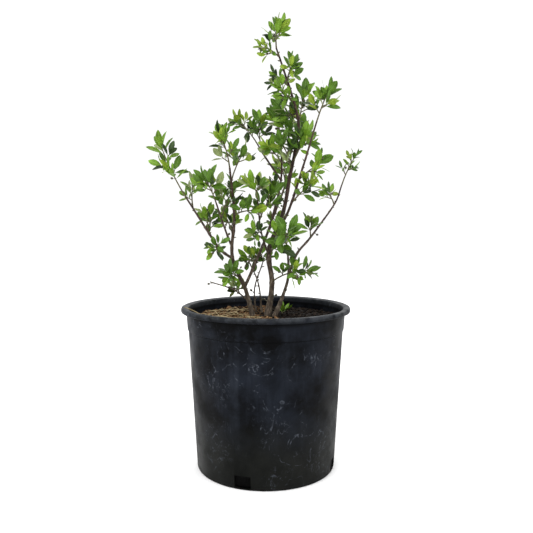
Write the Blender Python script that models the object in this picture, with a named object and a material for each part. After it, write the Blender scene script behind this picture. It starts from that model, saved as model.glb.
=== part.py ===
# Potted nanking cherry: a young shrub of several thin stems in a black nursery pot.
# Metres, +Z up, origin at the middle of the pot's flat underside, front along -Y.

import math
import random

import bpy
import bmesh
from mathutils import Vector
from mathutils.bvhtree import BVHTree

# Clearance between neighbouring pieces
GAP = 0.0003

# Pot: a thin tapered shell with a rolled lip, a shallow collar and a drain notch in each quarter
POT_HEIGHT = 0.2545
RIM_RADIUS = 0.133
SHOULDER_RADIUS = 0.1232
FOOT_RADIUS = 0.109
WALL = 0.0024
FLOOR = 0.004
LIP_HEIGHT = 0.0078
COLLAR_DROP = 0.035
COLLAR_STEP = 0.0014
POT_SEGMENTS = 48
NOTCH_COUNT = 4
NOTCH_WIDTH = 0.025
NOTCH_HEIGHT = 0.0185
NOTCH_SILL = 0.0025
NOTCH_DEPTH = 0.012
FIRST_NOTCH = math.radians(-18)

# Potting mix: level where the stems stand, a little uneven towards the wall
SOIL_DROP = 0.017
SOIL_TOP = POT_HEIGHT - SOIL_DROP
SOIL_LEVEL_RADIUS = 0.045
SOIL_UNEVEN = 0.0022

# Limbs
RING_SPACING = 0.022
FLARE_HEIGHT = 0.016

# Leaves and the shoots that carry them
CROWN_SEED = 7
THIRD = 2 * math.pi / 3
GOLDEN_ANGLE = math.radians(137.5)
NODE_TWIST = GOLDEN_ANGLE - THIRD
NODE_SPACING = 0.0022
STEM_SPACING = 0.012
SPUR_OPENING = math.radians(50)
SPUR_LEAVES = 3
SPUR_LEAF_SIZE = 0.85
LEAF_WIDTH = 0.46
LEAF_WIDEST = 0.52
LEAF_THICKNESS = 0.0009
LEAF_CURL = 0.10
LEAF_LIFT = 0.22
STEM_RADIUS = 0.0013
TWIG_RADIUS = 0.0008
CLEARANCE = 0.0005

# Each limb starts at a foot on the soil, or at a height on another limb, and runs through its bends to
# its tip. Its radii are those at its foot and its tip, and the flare widens its foot on the soil.
LIMBS = {
    "trunk": dict(
        foot=(0.003, 0.002),
        bends=[(0.010, 0.003, 0.287), (0.005, 0.001, 0.328), (0.008, 0.003, 0.354), (0.027, 0.009, 0.400),
               (0.038, 0.014, 0.456), (0.050, 0.010, 0.522), (0.048, 0.004, 0.557), (0.025, -0.008, 0.625)],
        tip=(0.016, -0.010, 0.650), radii=(0.0044, 0.0013), flare=0.0022),
    "stem_left": dict(
        foot=(-0.021, 0.004),
        bends=[(-0.032, 0.000, 0.281), (-0.052, -0.010, 0.333), (-0.048, -0.022, 0.397)],
        tip=(-0.054, -0.035, 0.468), radii=(0.0035, 0.0015), flare=0.0016),
    "stem_crossing": dict(
        fork=("stem_left", 0.284),
        bends=[(-0.018, 0.010, 0.318), (0.006, 0.032, 0.378), (0.025, 0.048, 0.455)],
        tip=(0.025, 0.058, 0.521), radii=(0.0026, 0.0013)),
    "stem_leaning": dict(
        fork=("trunk", 0.340),
        bends=[(0.019, -0.008, 0.374), (0.035, -0.020, 0.404), (0.055, -0.040, 0.467)],
        tip=(0.074, -0.057, 0.532), radii=(0.0024, 0.0012)),
    "stem_right": dict(
        foot=(0.0135, -0.007),
        bends=[(0.028, -0.002, 0.273), (0.036, 0.005, 0.303)],
        tip=(0.035, 0.013, 0.342), radii=(0.0030, 0.0016), flare=0.0012),
    "bough_right": dict(
        fork=("stem_right", 0.304),
        bends=[(0.050, 0.016, 0.336), (0.070, 0.035, 0.358), (0.090, 0.048, 0.383), (0.116, 0.062, 0.419)],
        tip=(0.127, 0.068, 0.448), radii=(0.0021, 0.0012)),
    "bough_high_left": dict(
        fork=("stem_crossing", 0.455),
        bends=[(-0.004, 0.061, 0.498)],
        tip=(-0.013, 0.066, 0.514), radii=(0.0018, 0.0012)),
    "bough_far_left": dict(
        fork=("stem_left", 0.329),
        bends=[(-0.072, -0.006, 0.345), (-0.094, 0.000, 0.377)],
        tip=(-0.124, 0.007, 0.423), radii=(0.0022, 0.0014)),
    "bough_front_left": dict(
        fork=("stem_left", 0.347),
        bends=[(-0.062, -0.026, 0.376)],
        tip=(-0.075, -0.042, 0.418), radii=(0.0017, 0.0011)),
    "bough_front": dict(
        fork=("trunk", 0.332),
        bends=[(-0.007, -0.020, 0.372)],
        tip=(-0.012, -0.044, 0.420), radii=(0.0016, 0.0010)),
    "bough_back": dict(
        fork=("stem_crossing", 0.382),
        bends=[(0.030, 0.075, 0.440)],
        tip=(0.057, 0.103, 0.516), radii=(0.0020, 0.0012)),
    "twig_low_left": dict(
        fork=("stem_left", 0.262),
        bends=[(-0.053, 0.022, 0.278)],
        tip=(-0.092, 0.044, 0.288), radii=(0.0014, 0.0009)),
    "sucker_middle": dict(
        foot=(-0.006, 0.024),
        bends=[(-0.012, 0.021, 0.288)],
        tip=(-0.028, 0.015, 0.326), radii=(0.0013, 0.0009), flare=0.0006),
    "sucker_back": dict(
        foot=(-0.016, 0.032),
        bends=[(-0.018, 0.031, 0.279)],
        tip=(-0.005, 0.032, 0.320), radii=(0.0012, 0.0009), flare=0.0006),
}

# Each mass of leaves: the limb it grows on, the height there (None: the limb's tip), the reach of its main
# shoot, the length of its leaves, the turn of its first leaf in degrees, and its numbers of spurs and of
# leaves near the tip of the main shoot.
MASSES = {
    "top_shoot": ("trunk", None, (0.003, 0.002, 0.023), 0.027, 20, 3, 5),
    "top_left": ("trunk", 0.637, (-0.019, -0.008, 0.011), 0.019, 190, 2, 4),
    "upper_right": ("trunk", 0.604, (0.006, -0.016, 0.012), 0.024, 300, 2, 5),
    "upper_left": ("trunk", 0.594, (-0.014, 0.012, 0.012), 0.021, 150, 2, 5),
    "upper_left_low": ("trunk", 0.572, (-0.020, -0.015, 0.012), 0.022, 200, 2, 5),
    "hanging_left": ("trunk", 0.545, (-0.021, 0.016, 0.015), 0.028, 170, 2, 5),
    "upper_shoot": ("trunk", 0.530, (0.010, 0.019, 0.053), 0.027, 40, 4, 5),
    "centre_back": ("trunk", 0.506, (-0.012, 0.028, 0.038), 0.027, 80, 4, 5),
    "centre_right": ("trunk", 0.480, (0.017, -0.021, 0.032), 0.027, 310, 4, 5),
    "centre_left": ("trunk", 0.468, (-0.013, -0.016, 0.036), 0.026, 230, 4, 5),
    "centre_low": ("trunk", 0.415, (-0.016, 0.012, 0.022), 0.022, 170, 3, 5),
    "crossing_tip": ("stem_crossing", None, (-0.008, 0.008, 0.034), 0.025, 60, 3, 5),
    "crossing_middle": ("stem_crossing", 0.483, (-0.018, -0.013, 0.020), 0.024, 200, 3, 5),
    "crossing_low": ("stem_crossing", 0.366, (0.014, 0.018, 0.022), 0.021, 60, 3, 5),
    "high_left_tip": ("bough_high_left", None, (-0.029, 0.014, 0.038), 0.024, 140, 3, 5),
    "high_left_side": ("bough_high_left", 0.502, (-0.005, 0.028, 0.048), 0.027, 60, 3, 5),
    "back_tip": ("bough_back", None, (0.006, 0.009, 0.028), 0.026, 90, 3, 5),
    "back_middle": ("bough_back", 0.449, (-0.006, 0.020, 0.030), 0.025, 120, 3, 5),
    "left_tip": ("stem_left", None, (-0.011, -0.007, 0.042), 0.025, 150, 3, 5),
    "left_side": ("stem_left", 0.448, (0.013, 0.012, 0.034), 0.029, 30, 1, 3),
    "left_middle": ("stem_left", 0.397, (0.024, -0.014, 0.006), 0.024, 340, 2, 4),
    "left_inner": ("stem_left", 0.366, (-0.011, 0.018, 0.026), 0.020, 130, 3, 5),
    "left_base": ("stem_left", 0.298, (-0.014, -0.015, 0.009), 0.024, 220, 2, 5),
    "fork_left": ("stem_crossing", 0.322, (-0.011, 0.018, 0.003), 0.021, 150, 3, 5),
    "front_left_tip": ("bough_front_left", None, (-0.010, -0.016, 0.024), 0.028, 200, 3, 5),
    "front_left_side": ("bough_front_left", 0.392, (0.018, 0.014, 0.042), 0.025, 20, 4, 5),
    "far_left_tip": ("bough_far_left", None, (-0.038, 0.009, 0.076), 0.029, 100, 4, 5),
    "far_left_spur": ("bough_far_left", 0.408, (-0.002, 0.016, 0.033), 0.022, 80, 2, 4),
    "far_left_middle": ("bough_far_left", 0.370, (-0.002, 0.014, 0.022), 0.024, 140, 3, 5),
    "far_left_low": ("bough_far_left", 0.345, (-0.005, -0.018, 0.003), 0.020, 250, 2, 4),
    "front_tip": ("bough_front", None, (-0.004, -0.006, 0.016), 0.025, 230, 1, 5),
    "front_side": ("bough_front", 0.390, (0.018, 0.009, 0.036), 0.024, 10, 4, 5),
    "front_low": ("bough_front", 0.362, (-0.012, -0.019, 0.006), 0.020, 240, 2, 5),
    "near": ("trunk", 0.333, (0.026, -0.060, 0.036), 0.031, 300, 4, 5),
    "leaning_low": ("stem_leaning", 0.415, (0.025, -0.016, 0.025), 0.023, 330, 4, 5),
    "leaning_high": ("stem_leaning", 0.450, (0.028, 0.014, 0.022), 0.025, 20, 2, 4),
    "leaning_tip": ("stem_leaning", None, (0.012, -0.010, 0.033), 0.026, 350, 3, 5),
    "right_tip": ("bough_right", None, (0.022, 0.010, 0.045), 0.016, 10, 4, 5),
    "right_middle": ("bough_right", 0.416, (-0.008, 0.014, 0.016), 0.020, 80, 1, 4),
    "right_low": ("bough_right", 0.362, (-0.003, -0.012, 0.012), 0.023, 280, 1, 4),
    "right_stem_top": ("stem_right", None, (-0.003, 0.007, 0.012), 0.022, 60, 2, 5),
    "low_right": ("trunk", 0.292, (0.052, -0.040, 0.020), 0.023, 320, 5, 5),
    "low_left": ("twig_low_left", 0.272, (-0.002, 0.012, 0.006), 0.022, 120, 1, 4),
    "sucker_tip": ("sucker_back", None, (-0.004, 0.004, 0.008), 0.019, 90, 2, 5),
}

# Plain colours: pot plastic, potting mix, bark and leaf
COLOURS = {
    "pot_plastic": (0.017, 0.018, 0.021, 1.0),
    "potting_mix": (0.030, 0.021, 0.014, 1.0),
    "bark": (0.110, 0.075, 0.055, 1.0),
    "leaf": (0.075, 0.160, 0.022, 1.0),
}


def clear_scene():
    for item in list(bpy.data.objects):
        bpy.data.objects.remove(item, do_unlink=True)


def make_material(name, roughness):
    material = bpy.data.materials.new(name)
    material.use_nodes = True
    shader = material.node_tree.nodes["Principled BSDF"]
    shader.inputs["Base Color"].default_value = COLOURS[name]
    shader.inputs["Roughness"].default_value = roughness
    shader.inputs["Metallic"].default_value = 0.0
    return material


def add_object(name, verts, faces, material, collection=None):
    mesh = bpy.data.meshes.new(name)
    mesh.from_pydata([tuple(v) for v in verts], [], faces)
    mesh.materials.append(material)
    piece = bpy.data.objects.new(name, mesh)
    (collection or bpy.context.scene.collection).objects.link(piece)
    return piece


def turned(profile, segments):
    """A closed profile of (radius, height) points turned round Z; points at radius 0 become one vertex."""
    verts = []
    rings = []
    for radius, height in profile:
        if radius < 1e-6:
            rings.append([len(verts)] * segments)
            verts.append(Vector((0, 0, height)))
            continue
        rings.append(list(range(len(verts), len(verts) + segments)))
        for step in range(segments):
            angle = 2 * math.pi * step / segments
            verts.append(Vector((radius * math.cos(angle), radius * math.sin(angle), height)))
    faces = []
    for lower, upper in zip(rings, rings[1:]):
        for step in range(segments):
            after = (step + 1) % segments
            corners = [lower[step], lower[after], upper[after], upper[step]]
            face = [c for i, c in enumerate(corners) if c not in corners[:i]]
            if len(face) > 2:
                faces.append(face)
    return verts, faces


def apply_modifiers(piece):
    """Replaces the mesh by the shape that its modifiers give."""
    graph = bpy.context.evaluated_depsgraph_get()
    shape = bpy.data.meshes.new_from_object(piece.evaluated_get(graph))
    piece.modifiers.clear()
    piece.data = shape


def remove_object(piece):
    mesh = piece.data
    bpy.data.objects.remove(piece, do_unlink=True)
    bpy.data.meshes.remove(mesh)


def cut(piece, cutter):
    """Takes a closed cutter away from a piece."""
    boolean = piece.modifiers.new("cut", "BOOLEAN")
    boolean.operation = "DIFFERENCE"
    boolean.solver = "EXACT"
    boolean.object = cutter
    apply_modifiers(piece)
    remove_object(cutter)


def keep_main_body(piece):
    """Drops the loose scraps that a join or a cut leaves, and any hollow sealed inside."""
    shape = bmesh.new()
    shape.from_mesh(piece.data)
    shape.verts.ensure_lookup_table()
    group = {}
    for start in shape.verts:
        if start.index in group:
            continue
        stack = [start]
        group[start.index] = start.index
        while stack:
            vert = stack.pop()
            for edge in vert.link_edges:
                other = edge.other_vert(vert)
                if other.index not in group:
                    group[other.index] = start.index
                    stack.append(other)
    sizes = {}
    for label in group.values():
        sizes[label] = sizes.get(label, 0) + 1
    main = max(sizes, key=sizes.get)
    scraps = [v for v in shape.verts if group[v.index] != main]
    bmesh.ops.delete(shape, geom=scraps, context="VERTS")
    shape.to_mesh(piece.data)
    shape.free()


# Pot and potting mix

def wall_radius(height):
    """Outer radius of the pot's straight tapered wall."""
    return FOOT_RADIUS + (SHOULDER_RADIUS - FOOT_RADIUS) * height / (POT_HEIGHT - LIP_HEIGHT)


def notch_box(turn, grow, material):
    """The box that cuts one drain notch, or, grown, the hollow behind it."""
    half_width = NOTCH_WIDTH / 2 + grow
    inner = FOOT_RADIUS - NOTCH_DEPTH - grow
    outer = FOOT_RADIUS + 0.012
    low = NOTCH_SILL
    high = NOTCH_SILL + NOTCH_HEIGHT + grow
    ahead = Vector((math.sin(turn), -math.cos(turn), 0))
    aside = Vector((math.cos(turn), math.sin(turn), 0))
    corners = ((inner, -half_width), (outer, -half_width), (outer, half_width), (inner, half_width))
    verts = [ahead * out + aside * side + Vector((0, 0, rise))
             for rise in (low, high) for out, side in corners]
    faces = [(3, 2, 1, 0), (4, 5, 6, 7), (0, 1, 5, 4), (1, 2, 6, 5), (2, 3, 7, 6), (3, 0, 4, 7)]
    return add_object("notch", verts, faces, material)


def build_pot(plastic):
    lip_low = POT_HEIGHT - LIP_HEIGHT
    collar_low = POT_HEIGHT - COLLAR_DROP
    shoulder_in = SHOULDER_RADIUS - WALL
    profile = [
        (0, 0),
        (FOOT_RADIUS - 0.003, 0),
        (wall_radius(0.003), 0.003),
        (wall_radius(collar_low), collar_low),
        (wall_radius(collar_low) + COLLAR_STEP, collar_low + 0.0012),
        (SHOULDER_RADIUS + COLLAR_STEP, lip_low - 0.0015),
        (RIM_RADIUS - 0.0022, lip_low),
        (RIM_RADIUS, lip_low + 0.0026),
        (RIM_RADIUS - 0.0004, POT_HEIGHT - 0.0022),
        (RIM_RADIUS - 0.0026, POT_HEIGHT),
        (RIM_RADIUS - 0.0068, POT_HEIGHT),
        (shoulder_in + 0.0010, POT_HEIGHT - 0.0034),
        (shoulder_in, lip_low - 0.004),
        (wall_radius(FLOOR) - WALL, FLOOR),
        (0, FLOOR),
    ]
    verts, faces = turned(profile, POT_SEGMENTS)
    pot = add_object("pot", verts, faces, plastic)
    for index in range(NOTCH_COUNT):
        cut(pot, notch_box(FIRST_NOTCH + index * 2 * math.pi / NOTCH_COUNT, 0, plastic))
    return pot


def build_soil(mix):
    """Fills the pot up to the soil line, clear of its wall, with a hollow behind each drain notch."""
    facet = math.cos(math.pi / POT_SEGMENTS)

    def inside(height):
        return wall_radius(height) - WALL - GAP / facet

    bottom = FLOOR + GAP
    rings = [(inside(SOIL_TOP) * share, SOIL_TOP) for share in (1.0, 0.88, 0.72, 0.55)]
    profile = [(0, bottom), (inside(bottom), bottom)] + rings
    profile += [(SOIL_LEVEL_RADIUS, SOIL_TOP), (0, SOIL_TOP)]
    verts, faces = turned(profile, POT_SEGMENTS)
    rng = random.Random(CROWN_SEED)
    for vert in verts:
        out = math.hypot(vert.x, vert.y)
        if vert.z > SOIL_TOP - 1e-6 and out > SOIL_LEVEL_RADIUS + 0.002:
            drop = rng.uniform(0, SOIL_UNEVEN)
            vert.z -= drop
            # A sunken point at the wall follows the wall's taper
            if out > inside(SOIL_TOP) - 1e-6:
                shrink = inside(vert.z) / out
                vert.x *= shrink
                vert.y *= shrink
    soil = add_object("soil", verts, faces, mix)
    for index in range(NOTCH_COUNT):
        cut(soil, notch_box(FIRST_NOTCH + index * 2 * math.pi / NOTCH_COUNT, 0.001, mix))
    return soil


# Limbs

def smooth_way(points):
    """An evenly spaced run of points along the smooth curve through the given ones."""
    ends = [points[0] * 2 - points[1]] + points + [points[-1] * 2 - points[-2]]
    fine = []
    for a, b, c, d in zip(ends, ends[1:], ends[2:], ends[3:]):
        for step in range(12):
            t = step / 12
            fine.append(((b * 2) + (c - a) * t + (a * 2 - b * 5 + c * 4 - d) * t * t
                         + (b * 3 - a - c * 3 + d) * t * t * t) / 2)
    fine.append(points[-1])
    travelled = [0.0]
    for a, b in zip(fine, fine[1:]):
        travelled.append(travelled[-1] + (b - a).length)
    spans = max(2, round(travelled[-1] / RING_SPACING))
    way = []
    index = 0
    for span in range(spans):
        goal = travelled[-1] * span / spans
        while travelled[index + 1] < goal:
            index += 1
        share = (goal - travelled[index]) / (travelled[index + 1] - travelled[index])
        way.append(fine[index].lerp(fine[index + 1], share))
    way.append(points[-1])
    return way


def place_on(way, height):
    """The point of a way at a height, and its heading there."""
    for low, high in zip(way, way[1:]):
        if low.z <= height <= high.z:
            share = (height - low.z) / (high.z - low.z)
            return low.lerp(high, share), (high - low).normalized()
    raise ValueError("no point of the limb is %.3f m high" % height)


def tube(way, radii, sides, flat_foot=False):
    """A closed tube round a way, its rings carried along without twist."""
    headings = [(after - before).normalized()
                for before, after in zip([way[0]] + way[:-1], way[1:] + [way[-1]])]
    if flat_foot:
        headings[0] = Vector((0, 0, 1))
    across = headings[0].orthogonal().normalized()
    verts = []
    for point, heading, radius in zip(way, headings, radii):
        across = (across - heading * across.dot(heading)).normalized()
        other = heading.cross(across)
        for side in range(sides):
            angle = 2 * math.pi * side / sides
            verts.append(point + (across * math.cos(angle) + other * math.sin(angle)) * radius)
    faces = [tuple(range(sides - 1, -1, -1))]
    for ring in range(len(way) - 1):
        for side in range(sides):
            after = (side + 1) % sides
            low = ring * sides
            faces.append((low + side, low + after, low + sides + after, low + sides + side))
    faces.append(tuple(range(len(verts) - sides, len(verts))))
    return verts, faces


class Limb:
    """One tapering limb, with its way, the radius at each ring and its number of sides."""

    def __init__(self, name, limbs, foot=None, fork=None, bends=(), tip=None, radii=None, flare=0.0):
        self.name = name
        self.parent = limbs[fork[0]] if fork else None
        if foot:
            start = Vector((foot[0], foot[1], SOIL_TOP + GAP))
        else:
            start = place_on(self.parent.way, fork[1])[0]
        self.rooted = bool(foot)
        self.way = smooth_way([start] + [Vector(bend) for bend in bends] + [Vector(tip)])
        last = len(self.way) - 1
        self.radii = []
        for ring, point in enumerate(self.way):
            radius = radii[0] + (radii[1] - radii[0]) * ring / last
            self.radii.append(radius + flare * math.exp(-(point.z - start.z) / FLARE_HEIGHT))
        self.sides = 8 if radii[0] > 0.0030 else 6

    def shape(self, grow=0.0):
        return tube(self.way, [r + grow for r in self.radii], self.sides, self.rooted)

    def swollen(self, material):
        """The limb grown by the clearance, long enough at its ends to cut what starts on it."""
        verts, faces = self.shape(GAP / math.cos(math.pi / self.sides))
        return add_object("clearance", verts, faces, material)


def build_limbs(bark):
    limbs = {}
    for name, sizes in LIMBS.items():
        limb = Limb(name, limbs, **sizes)
        limbs[name] = limb
        verts, faces = limb.shape()
        piece = add_object(name, verts, faces, bark)
        if limb.parent:
            cut(piece, limb.parent.swollen(bark))
            keep_main_body(piece)
        piece.data.shade_smooth()
    return limbs


# Leaf masses

def outward_of(across, other, angle):
    return across * math.cos(angle) + other * math.sin(angle)


class Shoot:
    """A three-sided stem. Each of its last short spans bears a leaf, and so does its end."""

    def __init__(self, start, heading, reach, radius, leaves, turn):
        end = start + reach
        control = start + heading * reach.length * 0.5
        bare_length = reach.length - NODE_SPACING * leaves
        bare_spans = max(1, round(bare_length / STEM_SPACING))
        shares = [bare_length / reach.length * step / bare_spans for step in range(bare_spans)]
        shares += [(bare_length + NODE_SPACING * node) / reach.length for node in range(leaves + 1)]
        self.way = [start.lerp(control, t).lerp(control.lerp(end, t), t) for t in shares]
        self.bare_spans = bare_spans
        self.leaves = leaves
        self.radii = [radius + (TWIG_RADIUS - radius) * t for t in shares]
        self.headings = [(after - before).normalized()
                         for before, after in zip([start] + self.way[:-1], self.way[1:] + [end])]
        across = self.headings[0].orthogonal().normalized()
        self.rings = []
        for ring, (point, heading, radius) in enumerate(zip(self.way, self.headings, self.radii)):
            across = (across - heading * across.dot(heading)).normalized()
            other = heading.cross(across)
            start_angle = turn + NODE_TWIST * max(0, ring - bare_spans)
            self.rings.append([point + outward_of(across, other, start_angle + side * THIRD) * radius
                               for side in range(3)])
        self.blades = {}

    def corners(self, node):
        """The four corners that leaf number node grows from; the last leaf grows from the stem's end."""
        if node == self.leaves:
            return self.rings[-1]
        low = self.rings[self.bare_spans + node]
        high = self.rings[self.bare_spans + node + 1]
        side = node % 3
        after = (side + 1) % 3
        return [low[side], low[after], high[after], high[side]]

    def blade(self, node, length, opening, roll, grow=0.0):
        """The corners where leaf number node starts, those of its widest section, and its tip."""
        base = self.corners(node)
        root = sum(base, Vector()) / len(base)
        heading = self.headings[min(self.bare_spans + node, len(self.headings) - 1)]
        if node == self.leaves:
            pointing = (heading + Vector((0, 0, LEAF_LIFT))).normalized()
            aside = base[1] - base[0]
        else:
            middle = (self.way[self.bare_spans + node] + self.way[self.bare_spans + node + 1]) / 2
            outward = (root - middle).normalized()
            pointing = heading * math.cos(opening) + outward * math.sin(opening)
            pointing = (pointing + Vector((0, 0, LEAF_LIFT))).normalized()
            aside = base[1] - base[0] + base[2] - base[3]
        aside = (aside - pointing * aside.dot(pointing)).normalized()
        aside = aside * math.cos(roll) + pointing.cross(aside) * math.sin(roll)
        face = pointing.cross(aside)
        half = length * LEAF_WIDTH / 2 + grow
        thick = LEAF_THICKNESS / 2 + grow
        widest = root + pointing * length * LEAF_WIDEST - face * length * LEAF_CURL * LEAF_WIDEST ** 2
        if node == self.leaves:
            section = [widest - aside * half, widest + aside * half, widest + face * thick * 2]
        else:
            section = [widest - aside * half - face * thick, widest + aside * half - face * thick,
                       widest + aside * half + face * thick, widest - aside * half + face * thick]
        tip = root + pointing * (length + grow) - face * length * LEAF_CURL
        return base, section, tip

    def outer_part(self, blade, start):
        """A closed solid of the blade from a share of the way to its widest section, for tests."""
        base, section, tip = blade
        count = len(base)
        verts = [low.lerp(high, start) for low, high in zip(base, section)] + section + [tip]
        faces = [tuple(range(count - 1, -1, -1))]
        for side in range(count):
            after = (side + 1) % count
            faces.append((side, after, count + after, count + side))
            faces.append((count + side, count + after, 2 * count))
        return verts, faces

    def stem(self, grow=0.0):
        return tube(self.way, [radius + grow for radius in self.radii], 6)

    def shape(self):
        """The whole shoot as one closed mesh, each leaf drawn out of its side of the stem."""
        verts = [corner for ring in self.rings for corner in ring]
        faces = [(2, 1, 0)]
        for span in range(len(self.rings) - 1):
            for side in range(3):
                after = (side + 1) % 3
                low = 3 * span
                quad = (low + side, low + after, low + 3 + after, low + 3 + side)
                node = span - self.bare_spans
                if node in self.blades and side == node % 3:
                    self.draw_out(verts, faces, quad, self.blades[node])
                else:
                    faces.append(quad)
        end = tuple(range(len(self.rings) * 3 - 3, len(self.rings) * 3))
        if self.leaves in self.blades:
            self.draw_out(verts, faces, end, self.blades[self.leaves])
        else:
            faces.append(end)
        return verts, faces

    def draw_out(self, verts, faces, base, blade):
        section, tip = blade[1:]
        first = len(verts)
        count = len(base)
        verts += section + [tip]
        for side in range(count):
            after = (side + 1) % count
            faces.append((base[side], base[after], first + after, first + side))
            faces.append((first + side, first + after, first + count))


class Mass:
    """One mass of leaves: a main shoot and the short spurs along it, clear of all that stands already."""

    def __init__(self, index, limb, height, reach, leaf, turn, spurs, leaves):
        self.rng = random.Random(CROWN_SEED + index)
        self.leaf = leaf
        self.turn = math.radians(turn)
        reach = Vector(reach)
        reach += reach.normalized() * NODE_SPACING * 2
        self.at_tip = height is None
        if self.at_tip:
            heading = (limb.way[-1] - limb.way[-2]).normalized()
            radius = min(STEM_RADIUS, limb.radii[-1])
            self.main = Shoot(limb.way[-1], heading, reach, radius, leaves, self.turn)
            # The shoot's foot moves on along the limb until its nearest corner is clear of the limb's end
            nearest = min((corner - limb.way[-1]).dot(heading) for corner in self.main.rings[0])
            start = limb.way[-1] + heading * (GAP - nearest)
        else:
            start, heading = place_on(limb.way, height)
            heading = (heading * 0.35 + reach.normalized()).normalized()
            radius = STEM_RADIUS
        self.main = Shoot(start, heading, reach, radius, leaves, self.turn)
        self.spurs = []
        self.spur_count = spurs
        self.room = leaf * 1.3 + 0.008
        self.own = []

    def in_room(self, point):
        """Whether a point lies in the mass's own space, a set distance round its main shoot."""
        return min((point - step).length for step in self.main.way) < self.room

    def dress(self, shoot, size, obstacles):
        """Sets a shoot's leaves, but none that would leave the space, cross another or touch a limb."""
        for node in range(shoot.leaves + 1):
            length = size * self.rng.uniform(0.88, 1.16)
            opening = math.radians(62 - 34 * node / shoot.leaves) + self.rng.uniform(-0.1, 0.1)
            roll = self.rng.uniform(-0.35, 0.35)
            blade = shoot.blade(node, length, opening, roll)
            swollen = shoot.blade(node, length, opening, roll, CLEARANCE)
            outer = shoot.outer_part(blade, 0.12)
            if not self.in_room(blade[2]):
                continue
            if touches(shoot.outer_part(swollen, 0.0), obstacles) or touches(outer, self.own):
                continue
            shoot.blades[node] = blade
            self.own.append(tree_of(outer))

    def grow(self, obstacles):
        self.own.append(tree_of(self.main.stem()))
        turn = self.turn
        for spur in range(self.spur_count):
            share = (spur + self.rng.uniform(0.25, 0.75)) / self.spur_count
            place = 0.28 + 0.52 * share
            root, heading = along_way(self.main.way, self.main.headings, place)
            turn += GOLDEN_ANGLE
            across = heading.orthogonal().normalized()
            outward = outward_of(across, heading.cross(across), turn)
            pointing = (heading * math.cos(SPUR_OPENING) + outward * math.sin(SPUR_OPENING)).normalized()
            length = NODE_SPACING * SPUR_LEAVES + self.rng.uniform(0.003, 0.006)
            shoot = Shoot(root, pointing, pointing * length, TWIG_RADIUS * 1.1, SPUR_LEAVES, turn)
            if touches(shoot.stem(CLEARANCE), obstacles):
                continue
            self.spurs.append(shoot)
        for shoot in self.spurs:
            self.own.append(tree_of(outer_stem(shoot)))
        for shoot in self.spurs:
            self.dress(shoot, self.leaf * SPUR_LEAF_SIZE, obstacles)
        self.dress(self.main, self.leaf, obstacles)


def along_way(way, headings, share):
    """The point and the heading at a share of the length of a way."""
    lengths = [(after - before).length for before, after in zip(way, way[1:])]
    goal = sum(lengths) * share
    for index, length in enumerate(lengths):
        if goal <= length:
            return way[index].lerp(way[index + 1], goal / length), headings[index]
        goal -= length
    return way[-1], headings[-1]


def outer_stem(shoot):
    """A spur's stem without its foot, which is sunk in the main shoot."""
    start = shoot.way[0].lerp(shoot.way[1], 0.6)
    return tube([start] + shoot.way[1:], [TWIG_RADIUS] * len(shoot.way), 3)


def tree_of(shape):
    return BVHTree.FromPolygons([tuple(v) for v in shape[0]], shape[1])


def touches(shape, obstacles):
    tree = tree_of(shape)
    return any(tree.overlap(other) for other in obstacles)


def build_masses(limbs, leaf_green):
    obstacles = {name: tree_of(limb.shape()) for name, limb in limbs.items()}
    for index, (name, (limb_name, *sizes)) in enumerate(MASSES.items()):
        limb = limbs[limb_name]
        mass = Mass(index, limb, *sizes)
        mass.grow(list(obstacles.values()))
        node_name = "leaves_" + name
        piece = add_object(node_name, *mass.main.shape(), leaf_green)
        if not mass.at_tip:
            cut(piece, limb.swollen(leaf_green))
            keep_main_body(piece)
        join_sprays(piece, [spur.shape() for spur in mass.spurs], leaf_green)
        keep_main_body(piece)
        shape = piece.data
        obstacles[node_name] = tree_of(([v.co.copy() for v in shape.vertices],
                                        [tuple(p.vertices) for p in shape.polygons]))


def join_sprays(piece, shapes, material):
    """Joins a main shoot and its spurs into one body, by a union with the collection of the spurs."""
    if not shapes:
        return
    sprays = bpy.data.collections.new("sprays")
    bpy.context.scene.collection.children.link(sprays)
    for verts, faces in shapes:
        add_object("spray", verts, faces, material, sprays)
    join = piece.modifiers.new("join", "BOOLEAN")
    join.operation = "UNION"
    join.operand_type = "COLLECTION"
    join.collection = sprays
    join.solver = "MANIFOLD"
    apply_modifiers(piece)
    for spray in list(sprays.objects):
        remove_object(spray)
    bpy.data.collections.remove(sprays)


def main():
    clear_scene()
    plastic = make_material("pot_plastic", 0.55)
    mix = make_material("potting_mix", 0.95)
    bark = make_material("bark", 0.85)
    leaf_green = make_material("leaf", 0.5)
    build_pot(plastic)
    build_soil(mix)
    limbs = build_limbs(bark)
    build_masses(limbs, leaf_green)


main()
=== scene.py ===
import math
import random

import bpy
import numpy as np
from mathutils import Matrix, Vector
from mathutils.bvhtree import BVHTree


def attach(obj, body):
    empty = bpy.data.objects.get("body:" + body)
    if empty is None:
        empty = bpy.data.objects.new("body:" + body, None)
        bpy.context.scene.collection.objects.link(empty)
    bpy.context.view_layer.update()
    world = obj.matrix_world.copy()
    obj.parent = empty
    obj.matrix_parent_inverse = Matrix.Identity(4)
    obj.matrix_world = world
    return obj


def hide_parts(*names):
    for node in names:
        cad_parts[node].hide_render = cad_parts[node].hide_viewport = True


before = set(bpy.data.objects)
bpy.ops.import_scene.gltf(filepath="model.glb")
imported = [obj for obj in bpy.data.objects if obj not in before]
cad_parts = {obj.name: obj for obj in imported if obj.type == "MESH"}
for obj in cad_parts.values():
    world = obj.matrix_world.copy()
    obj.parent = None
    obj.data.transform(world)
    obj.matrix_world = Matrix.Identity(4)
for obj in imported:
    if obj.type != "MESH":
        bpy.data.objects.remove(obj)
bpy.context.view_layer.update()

zAxis = Vector((0, 0, 1))
fullTurn = 2 * math.pi
third = fullTurn / 3
goldenAngle = math.radians(137.5)
# The range of a turn that is drawn at random
anyTurn = (0, 6.283)


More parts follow.
